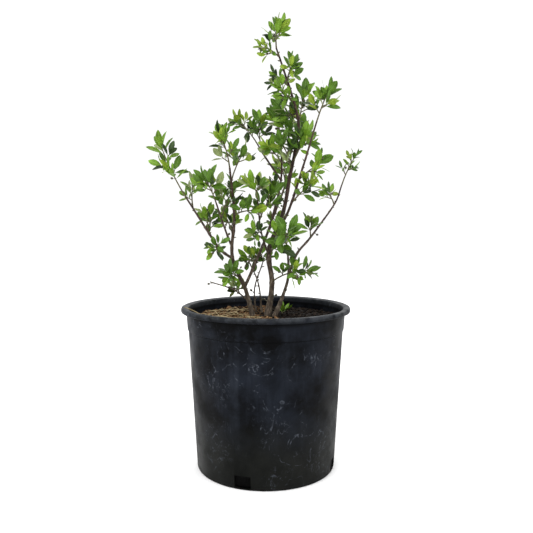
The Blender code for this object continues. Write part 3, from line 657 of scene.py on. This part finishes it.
# Limb, height on it (None: its tip), reach, leaf length, turn, spurs, leaves of the main shoot if not 5
massSizes = {
    "top_shoot": ("trunk", None, (0.003, 0.002, 0.023), 0.027, 20, 3),
    "top_left": ("trunk", 0.637, (-0.019, -0.008, 0.011), 0.019, 190, 2, 4),
    "upper_right": ("trunk", 0.604, (0.006, -0.016, 0.012), 0.024, 300, 2),
    "upper_left": ("trunk", 0.594, (-0.014, 0.012, 0.012), 0.021, 150, 2),
    "upper_left_low": ("trunk", 0.572, (-0.020, -0.015, 0.012), 0.022, 200, 2),
    "hanging_left": ("trunk", 0.545, (-0.021, 0.016, 0.015), 0.028, 170, 2),
    "upper_shoot": ("trunk", 0.530, (0.010, 0.019, 0.053), 0.027, 40, 4),
    "centre_back": ("trunk", 0.506, (-0.012, 0.028, 0.038), 0.027, 80, 4),
    "centre_right": ("trunk", 0.480, (0.017, -0.021, 0.032), 0.027, 310, 4),
    "centre_left": ("trunk", 0.468, (-0.013, -0.016, 0.036), 0.026, 230, 4),
    "centre_low": ("trunk", 0.415, (-0.016, 0.012, 0.022), 0.022, 170, 3),
    "crossing_tip": ("stem_crossing", None, (-0.008, 0.008, 0.034), 0.025, 60, 3),
    "crossing_middle": ("stem_crossing", 0.483, (-0.018, -0.013, 0.020), 0.024, 200, 3),
    "crossing_low": ("stem_crossing", 0.366, (0.014, 0.018, 0.022), 0.021, 60, 3),
    "high_left_tip": ("bough_high_left", None, (-0.029, 0.014, 0.038), 0.024, 140, 3),
    "high_left_side": ("bough_high_left", 0.502, (-0.005, 0.028, 0.048), 0.027, 60, 3),
    "back_tip": ("bough_back", None, (0.006, 0.009, 0.028), 0.026, 90, 3),
    "back_middle": ("bough_back", 0.449, (-0.006, 0.020, 0.030), 0.025, 120, 3),
    "left_tip": ("stem_left", None, (-0.011, -0.007, 0.042), 0.025, 150, 3),
    "left_side": ("stem_left", 0.448, (0.013, 0.012, 0.034), 0.029, 30, 1, 3),
    "left_middle": ("stem_left", 0.397, (0.024, -0.014, 0.006), 0.024, 340, 2, 4),
    "left_inner": ("stem_left", 0.366, (-0.011, 0.018, 0.026), 0.020, 130, 3),
    "left_base": ("stem_left", 0.298, (-0.014, -0.015, 0.009), 0.024, 220, 2),
    "fork_left": ("stem_crossing", 0.322, (-0.011, 0.018, 0.003), 0.021, 150, 3),
    "front_left_tip": ("bough_front_left", None, (-0.010, -0.016, 0.024), 0.028, 200, 3),
    "front_left_side": ("bough_front_left", 0.392, (0.018, 0.014, 0.042), 0.025, 20, 4),
    "far_left_tip": ("bough_far_left", None, (-0.038, 0.009, 0.076), 0.029, 100, 4),
    "far_left_spur": ("bough_far_left", 0.408, (-0.002, 0.016, 0.033), 0.022, 80, 2, 4),
    "far_left_middle": ("bough_far_left", 0.370, (-0.002, 0.014, 0.022), 0.024, 140, 3),
    "far_left_low": ("bough_far_left", 0.345, (-0.005, -0.018, 0.003), 0.020, 250, 2, 4),
    "front_tip": ("bough_front", None, (-0.004, -0.006, 0.016), 0.025, 230, 1),
    "front_side": ("bough_front", 0.390, (0.018, 0.009, 0.036), 0.024, 10, 4),
    "front_low": ("bough_front", 0.362, (-0.012, -0.019, 0.006), 0.020, 240, 2),
    "near": ("trunk", 0.333, (0.026, -0.060, 0.036), 0.031, 300, 4),
    "leaning_low": ("stem_leaning", 0.415, (0.025, -0.016, 0.025), 0.023, 330, 4),
    "leaning_high": ("stem_leaning", 0.450, (0.028, 0.014, 0.022), 0.025, 20, 2, 4),
    "leaning_tip": ("stem_leaning", None, (0.012, -0.010, 0.033), 0.026, 350, 3),
    "right_tip": ("bough_right", None, (0.022, 0.010, 0.045), 0.016, 10, 4),
    "right_middle": ("bough_right", 0.416, (-0.008, 0.014, 0.016), 0.020, 80, 1, 4),
    "right_low": ("bough_right", 0.362, (-0.003, -0.012, 0.012), 0.023, 280, 1, 4),
    "right_stem_top": ("stem_right", None, (-0.003, 0.007, 0.012), 0.022, 60, 2),
    "low_right": ("trunk", 0.292, (0.052, -0.040, 0.020), 0.023, 320, 5),
    "low_left": ("twig_low_left", 0.272, (-0.002, 0.012, 0.006), 0.022, 120, 1, 4),
    "sucker_tip": ("sucker_back", None, (-0.004, 0.004, 0.008), 0.019, 90, 2),
}
shootSizes = dict(seed=7, fineSeed=350, bladeSeed=99, nodeSpacing=0.0022, stemSpacing=0.012,
                  stemRadius=0.0013, twigRadius=0.0008, sides=6, sunk=0.0004, alongLimb=0.35,
                  roomShare=1.3, roomExtra=0.008, splitHeight=0.455)
spurSizes = dict(opening=50, leaves=3, thicker=1.1, length=(0.003, 0.006), first=0.28, span=0.52,
                 jitter=(0.25, 0.75), leafSize=0.85, extras=2, extraSpan=(0.15, 0.95), extraLeafSize=0.72)
leafPose = dict(sizes=(0.88, 1.16), opening=62, closing=34, sway=0.1, roll=0.35, lift=0.22, sameTone=0.7)
leafShape = dict(width=0.43, curl=0.10, fold=0.30, twist=0.35, widths=(0.86, 1.10), curls=(0.4, 2.0),
                 folds=(0.3, 1.8), stations=12, across=(-1.0, -0.55, 0.0, 0.55, 1.0), edgeRise=0.7,
                 tooth=0.085, stalk=0.10, stalkHalf=0.016, tipHalf=0.002, tipFrom=0.9, grow=0.95, close=0.82)
# Each tone has its colour and the share of sprays that take it
leafTones = {
    "leafMid": ((0.060, 0.132, 0.008), 0.38), "leafBright": ((0.118, 0.225, 0.013), 0.26),
    "leafDark": ((0.020, 0.045, 0.005), 0.18), "leafPale": ((0.190, 0.240, 0.085), 0.08),
    "leafYoung": ((0.185, 0.275, 0.018), 0.10),
}
darkTone, brightTone = list(leafTones).index("leafDark"), list(leafTones).index("leafBright")
leafFinish = dict(roughness=0.5, specular=0.22, rib=(0.03, 0.12), ribLight=(1.4, 0.03), veinSlant=-0.22,
                  veins=56.0, veinBand=(0.72, 1.0), veinShare=0.45, veinBump=(0.25, 0.0004),
                  blotches=(95.0, 3.0), places=(0.32, 0.52, 0.72), light=(1.55, 0.012), dark=0.66)
twigFinish = dict(roughness=0.6, scale=260.0,
                  stops=[(0.35, (0.045, 0.040, 0.014)), (0.65, (0.110, 0.095, 0.035))])
fruitFinish = dict(roughness=0.35, scale=300.0,
                   stops=[(0.35, (0.030, 0.024, 0.012)), (0.70, (0.090, 0.080, 0.028))])
fruitSizes = dict(radius=0.0021, radii=(0.75, 1.1), stalk=0.006, stalks=(0.7, 1.3), stalkRadius=0.0004,
                  stalkSides=4, bow=0.0008, aside=(-1, 1), upward=(-0.6, 0.4), share=0.65, long=1.25,
                  steps=5, sides=8, close=0.06)


def mottled(name, finish):
    material, tree, shader = newMaterial(name, finish["roughness"])
    mottle = noiseOf(tree, objectPoint(tree), finish["scale"])
    paint(tree, shader, rampOf(tree, mottle, finish["stops"]))
    return material


def leafMaterial(name, colour):
    f = leafFinish
    material, tree, shader = newMaterial(name, f["roughness"], f["specular"])
    uv = addNode(tree, "ShaderNodeUVMap", uv_map="UVMap").outputs["UV"]
    aside = mathOf(tree, "ABSOLUTE", axisOf(tree, uv, "X"))
    slant = mathOf(tree, "MULTIPLY_ADD", aside, f["veinSlant"], axisOf(tree, uv, "Y"))
    wave = mathOf(tree, "SINE", mathOf(tree, "MULTIPLY", slant, f["veins"]))
    veins = rangeOf(tree, wave, *f["veinBand"], 0.0, f["veinShare"])
    rib = rangeOf(tree, aside, *f["rib"], 1.0, 0.0)
    light = tuple(min(1.0, c * f["light"][0] + f["light"][1]) for c in colour)
    dark = tuple(c * f["dark"] for c in colour)
    pale = tuple(c * f["ribLight"][0] + f["ribLight"][1] for c in colour)
    blotches = noiseOf(tree, objectPoint(tree), *f["blotches"])
    ground = rampOf(tree, blotches, list(zip(f["places"], (dark, colour, light))))
    paint(tree, shader, mixOf(tree, rib, mixOf(tree, veins, ground, light), pale), wave, f["veinBump"])
    return material


def shootOf(start, heading, reach, radius, leaves, turn):
    # A stem with long spans, then a short one for each leaf
    s = shootSizes
    end = start + reach
    control = start + heading * reach.length * 0.5
    bareLength = reach.length - s["nodeSpacing"] * leaves
    bareSpans = max(1, round(bareLength / s["stemSpacing"]))
    shares = [bareLength / reach.length * step / bareSpans for step in range(bareSpans)]
    shares += [(bareLength + s["nodeSpacing"] * node) / reach.length for node in range(leaves + 1)]
    way = [start.lerp(control, t).lerp(control.lerp(end, t), t) for t in shares]
    radii = [radius + (s["twigRadius"] - radius) * t for t in shares]
    headings, rings = headingsOf(way), []
    for ring, (point, (across, other), width) in enumerate(zip(way, framesOf(headings), radii)):
        first = turn + (goldenAngle - third) * max(0, ring - bareSpans)
        rings.append([point + (across * math.cos(angle) + other * math.sin(angle)) * width
                      for angle in (first, first + third, first + 2 * third)])
    return dict(way=way, radii=radii, headings=headings, rings=rings, bareSpans=bareSpans, leaves=leaves)


def leafOf(shoot, node, length, opening, roll):
    # Where a leaf starts, where it points, its side, its face and its tip
    span = shoot["bareSpans"] + node
    heading = shoot["headings"][min(span, len(shoot["headings"]) - 1)]
    if node == shoot["leaves"]:
        base = shoot["rings"][-1]
        pointing, aside = heading, base[1] - base[0]
    else:
        side, after = node % 3, (node % 3 + 1) % 3
        low, high = shoot["rings"][span], shoot["rings"][span + 1]
        base = [low[side], low[after], high[after], high[side]]
        middle = (shoot["way"][span] + shoot["way"][span + 1]) / 2
        outward = (sum(base, Vector()) / 4 - middle).normalized()
        pointing = heading * math.cos(opening) + outward * math.sin(opening)
        aside = base[1] - base[0] + base[2] - base[3]
    root = sum(base, Vector()) / len(base)
    pointing = (pointing + zAxis * leafPose["lift"]).normalized()
    aside = (aside - pointing * aside.dot(pointing)).normalized()
    aside = aside * math.cos(roll) + pointing.cross(aside) * math.sin(roll)
    face = pointing.cross(aside)
    tip = root + pointing * length - face * length * leafShape["curl"]
    return dict(root=root, pointing=pointing, aside=aside, face=face, length=length, tip=tip)


def bladeMesh(leaf, rng):
    # Five points across each station: toothed edges, the halves folded up from the midrib
    s = leafShape
    verts, faces, uvs = [], [], []
    curl = s["curl"] * rng.uniform(*s["curls"])
    width = s["width"] * rng.uniform(*s["widths"]) / 2
    twist = rng.uniform(-s["twist"], s["twist"])
    fold = s["fold"] * rng.uniform(*s["folds"])
    peak = s["grow"] / (s["grow"] + s["close"])
    top = peak ** s["grow"] * (1 - peak) ** s["close"]
    length, row = leaf["length"], len(s["across"])
    for station in range(s["stations"]):
        t = station / (s["stations"] - 1)
        inner = max(0.0, (t - s["stalk"]) / (1 - s["stalk"]))
        half = width * inner ** s["grow"] * (1 - inner) ** s["close"] / top if 0 < inner < 1 else 0.0
        half = max(half, s["stalkHalf"] if t < s["tipFrom"] else s["tipHalf"])
        tooth = 1 - s["tooth"] if station % 2 else 1.0
        turn = twist * t
        aside = leaf["aside"] * math.cos(turn) + leaf["face"] * math.sin(turn)
        face = leaf["face"] * math.cos(turn) - leaf["aside"] * math.sin(turn)
        middle = leaf["root"] + leaf["pointing"] * length * t - leaf["face"] * length * curl * t * t
        for across in s["across"]:
            atEdge = abs(across) == 1
            reach = half * across * (tooth if atEdge else 1)
            rise = fold * abs(reach) * (s["edgeRise"] if atEdge else 1.0)
            verts.append(middle + aside * length * reach + face * length * rise)
            uvs.append((across, t))
    for station in range(s["stations"] - 1):
        for low in range(station * row, station * row + row - 1):
            faces.append((low, low + 1, low + row + 1, low + row))
    return (verts, faces), uvs


def pickTone(rng):
    share, total = rng.random(), 0.0
    for tone, (colour, part) in enumerate(leafTones.values()):
        total += part
        if share < total:
            return tone
    return 0


def mainShoot(limb, height, reach, leaves, turn):
    s = shootSizes
    reach = Vector(reach)
    reach += reach.normalized() * s["nodeSpacing"] * 2
    if height is None:
        heading = (limb["way"][-1] - limb["way"][-2]).normalized()
        start, radius = limb["way"][-1] - heading * s["sunk"], min(s["stemRadius"], limb["radii"][-1])
    else:
        start, heading = placeOn(limb["way"], height)
        heading = (heading * s["alongLimb"] + reach.normalized()).normalized()
        radius = s["stemRadius"]
    return shootOf(start, heading, reach, radius, leaves, turn)


def spurOf(main, share, turn, rng):
    # A short shoot that starts at a share of the main shoot's length
    p, way = spurSizes, main["way"]
    spans = [(after - before).length for before, after in zip(way, way[1:])]
    goal, step = sum(spans) * share, 0
    while goal > spans[step]:
        goal -= spans[step]
        step += 1
    root, along = way[step].lerp(way[step + 1], goal / spans[step]), main["headings"][step]
    opening = math.radians(p["opening"])
    pointing = (along * math.cos(opening) + squareTo(along, turn) * math.sin(opening)).normalized()
    reach = shootSizes["nodeSpacing"] * p["leaves"] + rng.uniform(*p["length"])
    radius = shootSizes["twigRadius"] * p["thicker"]
    return shootOf(root, pointing, pointing * reach, radius, p["leaves"], turn)


def growMass(index, limb, height, reach, leaf, turn, spurs, leaves=5):
    s, p, pose = shootSizes, spurSizes, leafPose
    rng, fine = random.Random(s["seed"] + index), random.Random(s["fineSeed"] + index)
    turn = math.radians(turn)
    main = mainShoot(limb, height, reach, leaves, turn)
    sprays, extras = [], []
    for spur in range(spurs):
        turn += goldenAngle
        share = p["first"] + p["span"] * (spur + rng.uniform(*p["jitter"])) / spurs
        sprays.append(spurOf(main, share, turn, rng))
    for _ in range(p["extras"]):
        turn += goldenAngle
        extras.append(spurOf(main, fine.uniform(*p["extraSpan"]), turn, fine))
    rows = [(spray, leaf * p["leafSize"], rng) for spray in sprays] + [(main, leaf, rng)]
    rows += [(spray, leaf * p["extraLeafSize"], fine) for spray in extras]
    room = leaf * s["roomShare"] + s["roomExtra"]
    found = []
    for spray, size, draw in rows:
        tone = pickTone(fine)
        if spray is main and tone == darkTone:
            tone = brightTone
        for node in range(spray["leaves"] + 1):
            length = size * draw.uniform(*pose["sizes"])
            opening = math.radians(pose["opening"] - pose["closing"] * node / spray["leaves"])
            opening += draw.uniform(-pose["sway"], pose["sway"])
            blade = leafOf(spray, node, length, opening, draw.uniform(-pose["roll"], pose["roll"]))
            if min((blade["tip"] - step).length for step in main["way"]) < room:
                found.append((blade, tone if fine.random() < pose["sameTone"] else pickTone(fine)))
    return [main] + sprays + extras, found


def meetsLimb(shape, limbTrees):
    # Whether a leaf runs into a limb beyond its stalk
    verts, faces = shape
    first = 2 * len(leafShape["across"])
    outer = treeOf(verts[first:], [tuple(c - first for c in face) for face in faces if min(face) >= first])
    return any(outer.overlap(tree) for tree in limbTrees)


def drupe(centre, out, radius):
    s = fruitSizes
    angles = [math.pi * (s["close"] + (1 - 2 * s["close"]) * i / s["steps"]) for i in range(s["steps"] + 1)]
    way = [centre + out * radius * s["long"] * -math.cos(angle) for angle in angles]
    return tube(way, [radius * math.sin(angle) for angle in angles], s["sides"])


def addFruit(fruit, spray, rng):
    s = fruitSizes
    start = spray["way"][1]
    drift = Vector((rng.uniform(*s["aside"]), rng.uniform(*s["aside"]), rng.uniform(*s["upward"])))
    out = (spray["headings"][1] + drift).normalized()
    end = start + out * s["stalk"] * rng.uniform(*s["stalks"])
    stalk = [start, start.lerp(end, 0.5) + zAxis * s["bow"], end]
    fruit.add(tube(stalk, [s["stalkRadius"]] * 3, s["stalkSides"]))
    fruit.add(drupe(end + out * s["radius"], out, s["radius"] * rng.uniform(*s["radii"])))


stubSizes = dict(seed=31, spacing=0.011, sway=0.4, forward=(0.4, 1.0), length=(0.0018, 0.0055),
                 radius=0.00085, radii=(0.8, 1.3), foot=0.8, tip=0.25, middle=0.6, sunk=0.6, fruitShare=0.16,
                 fruitRadii=(0.7, 1.0), stalk=0.004, stalkDrop=0.001, fruitOut=0.0015)


def addStubs(twigs, fruit, limbs):
    # Short side spurs and buds stand out of the limbs all along
    s = stubSizes
    rng = random.Random(s["seed"])
    step = max(1, round(s["spacing"] / barkSizes["fineSpacing"]))
    for limb in limbs.values():
        way, turn = limb["fine"], rng.uniform(*anyTurn)
        for ring in range(step * 2, len(way) - 2, step):
            turn += goldenAngle + rng.uniform(-s["sway"], s["sway"])
            heading = (way[ring + 1] - way[ring]).normalized()
            out = squareTo(heading, turn)
            pointing = (out + heading * rng.uniform(*s["forward"])).normalized()
            length = rng.uniform(*s["length"])
            start = way[ring] + out * limb["fineRadii"][ring] * s["sunk"]
            middle, end = start + pointing * length * s["middle"], start + pointing * length
            bud = s["radius"] * rng.uniform(*s["radii"])
            radii = [bud * s["foot"], bud, bud * s["tip"]]
            twigs.add(tube([start, middle, end], radii, shootSizes["sides"]))
            if rng.random() < s["fruitShare"]:
                stalkEnd = middle + pointing * s["stalk"] - zAxis * s["stalkDrop"]
                radius = fruitSizes["radius"] * rng.uniform(*s["fruitRadii"])
                fruit.add(tube([middle, stalkEnd], [fruitSizes["stalkRadius"]] * 2, fruitSizes["stalkSides"]))
                fruit.add(drupe(stalkEnd + pointing * s["fruitOut"], pointing, radius))


sprigSizes = dict(seed=17, foot=(0.026, 0.020), sunk=0.001, top=(0.002, 0.002, 0.010),
                  radii=[0.0009, 0.0008, 0.0006], leaves=8, rise=(0.4, 1.4), length=(0.014, 0.021),
                  firstLeaf=0.4)


def addSprig(heap, twigs):
    # A small green shoot of its own stands on the soil right of the stems
    s = sprigSizes
    rng = random.Random(s["seed"])
    foot = Vector((*s["foot"], soilHeight(*s["foot"]) - s["sunk"]))
    top = foot + Vector(s["top"])
    twigs.add(tube([foot, foot.lerp(top, 0.5), top], s["radii"], shootSizes["sides"]))
    for index in range(s["leaves"]):
        pointing = (compass(index * goldenAngle) + zAxis * rng.uniform(*s["rise"])).normalized()
        aside = pointing.cross(zAxis).normalized()
        root = foot.lerp(top, s["firstLeaf"] + (1 - s["firstLeaf"]) * index / s["leaves"])
        leaf = dict(root=root, pointing=pointing, aside=aside, face=pointing.cross(aside),
                    length=rng.uniform(*s["length"]))
        shape, uvs = bladeMesh(leaf, rng)
        heap.add(shape, brightTone, uvs)


def makeCrown():
    greens = [leafMaterial(name, colour) for name, (colour, part) in leafTones.items()]
    limbTrees = [treeOf(*tube(limb["way"], limb["radii"], shootSizes["sides"])) for limb in limbs.values()]
    heaps, nodes = [Heap(), Heap()], [[], []]
    twigs, fruit = Heap(), Heap()
    rng = random.Random(shootSizes["bladeSeed"])
    for index, (name, (limbName, *sizes)) in enumerate(massSizes.items()):
        sprays, found = growMass(index, limbs[limbName], *sizes)
        half = 0 if sprays[0]["way"][-1].z > shootSizes["splitHeight"] else 1
        nodes[half].append("leaves_" + name)
        for spray in sprays:
            twigs.add(tube(spray["way"], spray["radii"], shootSizes["sides"]))
        for blade, tone in found:
            shape, uvs = bladeMesh(blade, rng)
            if not meetsLimb(shape, limbTrees):
                heaps[half].add(shape, tone, uvs)
        for spray in sprays[1::2]:
            if rng.random() < fruitSizes["share"]:
                addFruit(fruit, spray, rng)
    facesPerLeaf = (leafShape["stations"] - 1) * (len(leafShape["across"]) - 1)
    leafCount = sum(len(heap.faces) for heap in heaps) // facesPerLeaf
    addStubs(twigs, fruit, limbs)
    addSprig(heaps[1], twigs)
    for heap, label, replaced in zip(heaps, ("leavesHigh", "leavesLow"), nodes):
        seat(heap.piece(label, greens), "leaf", *replaced)
    seat(twigs.piece("youngTwigs", [mottled("youngTwig", twigFinish)]), "bark", *nodes[0], *nodes[1])
    seat(fruit.piece("youngFruit", [mottled("youngFruit", fruitFinish)]), "leaf")
    print("crown done:", leafCount, "leaves")


makeCrown()


# Litter on the soil

dryLeafSizes = dict(seed=11, count=24, angles=(115, 275), reach=(0.035, 0.106), rise=(-0.05, 0.25),
                    length=(0.013, 0.024), lift=0.0022, lowest=-0.0005, farthest=0.116, pullIn=0.9)
dryLeafTones = dict(dryLeafBrown=((0.050, 0.026, 0.012), (0.150, 0.085, 0.040), (0.300, 0.200, 0.110)),
                    dryLeafTan=((0.120, 0.080, 0.040), (0.270, 0.200, 0.110), (0.420, 0.340, 0.210)))
strawSizes = dict(count=20, angles=(105, 280), reach=(0.030, 0.095), length=(0.025, 0.075), farthest=0.115,
                  shrink=0.85, bow=0.25, lifts=(0.0016, 0.0034, 0.0018), radius=0.00055, radii=(0.7, 1.3),
                  spacing=0.006, sides=5, overRadius=0.0008, overSpacing=0.004)
strawTones = ((0.160, 0.120, 0.060), (0.340, 0.270, 0.150), (0.560, 0.480, 0.320))
# One straw lies over the rim on the left: out from the middle, and up from the soil or the rim
strawOver = [(-0.100, -0.012, soilTop + 0.004), (-0.1145, -0.020, potSizes["height"] - 0.004),
             (-0.1255, -0.024, potSizes["height"] + 0.0009)]


def spotOn(s, rng):
    angle = math.radians(rng.uniform(*s["angles"]))
    return roundPoint(rng.uniform(*s["reach"]), angle)


def addDryLeaf(heap, rng):
    s = dryLeafSizes
    x, y = spotOn(s, rng)
    turn = rng.uniform(*anyTurn)
    pointing = (compass(turn) + zAxis * rng.uniform(*s["rise"])).normalized()
    aside = pointing.cross(zAxis).normalized()
    length = rng.uniform(*s["length"])
    root = Vector((x, y, soilHeight(x, y) + s["lift"])) - pointing * length / 2
    root.z = max(root.z, soilTop + s["lowest"])
    while max((root + pointing * length).xy.length, root.xy.length) > s["farthest"]:
        root.x, root.y = root.x * s["pullIn"], root.y * s["pullIn"]
    leaf = dict(root=root, pointing=pointing, aside=aside, face=aside.cross(pointing), length=length)
    shape, uvs = bladeMesh(leaf, rng)
    heap.add(shape, rng.randrange(2), uvs)


def addStraw(heap, rng):
    s = strawSizes
    middle = Vector((*spotOn(s, rng), 0))
    turn = rng.uniform(*anyTurn)
    half = compass(turn) * rng.uniform(*s["length"]) / 2
    while max((middle + half).length, (middle - half).length) > s["farthest"]:
        half *= s["shrink"]
    bow = Vector((-half.y, half.x, 0)) * rng.uniform(-s["bow"], s["bow"])
    points = [middle - half, middle + bow, middle + half]
    for point, lift in zip(points, s["lifts"]):
        point.z = soilTop + lift
    way = smoothWay(points, s["spacing"])
    heap.add(tube(way, [s["radius"] * rng.uniform(*s["radii"])] * len(way), s["sides"]))


def makeLitter():
    s = strawSizes
    rng = random.Random(dryLeafSizes["seed"])
    dryLeaves, straws = Heap(), Heap()
    for _ in range(dryLeafSizes["count"]):
        addDryLeaf(dryLeaves, rng)
    for _ in range(s["count"]):
        addStraw(straws, rng)
    way = smoothWay([Vector(point) for point in strawOver], s["overSpacing"])
    straws.add(tube(way, [s["overRadius"]] * len(way), s["sides"]))
    browns = [mixMaterial(name, tones) for name, tones in dryLeafTones.items()]
    seat(dryLeaves.piece("dryLeaves", browns), "potting_mix")
    seat(straws.piece("straws", [mixMaterial("straw", strawTones)]), "potting_mix")


makeLitter()
print("litter done")


# Stage

stage = dict(cameraPlace=(0.0, -0.9629, 0.3917), cameraTilt=85.55, lens=41.4, sensor=36.0, shiftX=0.0015,
             nearest=0.01, lampTarget=(0, 0, 0.33), floorSize=60.0, floorHeight=-0.0002,
             floorFinish=(0.9, 0.1), floorTone=(0.98, 0.98, 0.98), skyColour=(1.0, 1.0, 1.0),
             skyStrength=1.05)
lamps = {
    "keyLamp": dict(place=(-1.3, -1.6, 2.1), size=1.6, power=42),
    "fillLamp": dict(place=(1.7, -1.2, 1.3), size=1.8, power=20),
    "backLamp": dict(place=(0.3, 1.9, 2.0), size=1.6, power=26),
}


def makeStage():
    scene = bpy.context.scene
    half, height = stage["floorSize"] / 2, stage["floorHeight"]
    material, tree, shader = newMaterial("paleFloor", *stage["floorFinish"])
    shader.inputs["Base Color"].default_value = (*stage["floorTone"], 1.0)
    corners = [(-half, -half, height), (half, -half, height), (half, half, height), (-half, half, height)]
    floor = newPiece("floor", corners, [(0, 1, 2, 3)], [material], smooth=False)
    scene.view_settings.view_transform = "Standard"
    scene.world = bpy.data.worlds.new("softSky")
    scene.world.use_nodes = True
    sky = scene.world.node_tree.nodes["Background"]
    sky.inputs["Color"].default_value = (*stage["skyColour"], 1.0)
    sky.inputs["Strength"].default_value = stage["skyStrength"]
    for name, lamp in lamps.items():
        light = bpy.data.lights.new(name, "AREA")
        light.energy, light.size = lamp["power"], lamp["size"]
        holder = bpy.data.objects.new(name, light)
        holder.location = lamp["place"]
        aim = Vector(stage["lampTarget"]) - Vector(lamp["place"])
        holder.rotation_euler = aim.to_track_quat("-Z", "Y").to_euler()
        scene.collection.objects.link(holder)
    camera = bpy.data.cameras.new("photoView")
    camera.lens, camera.sensor_width, camera.shift_x = stage["lens"], stage["sensor"], stage["shiftX"]
    camera.clip_start = stage["nearest"]
    eye = bpy.data.objects.new("photoView", camera)
    eye.location = stage["cameraPlace"]
    eye.rotation_euler = (math.radians(stage["cameraTilt"]), 0, 0)
    scene.collection.objects.link(eye)
    scene.camera = eye


makeStage()
print("stage done")
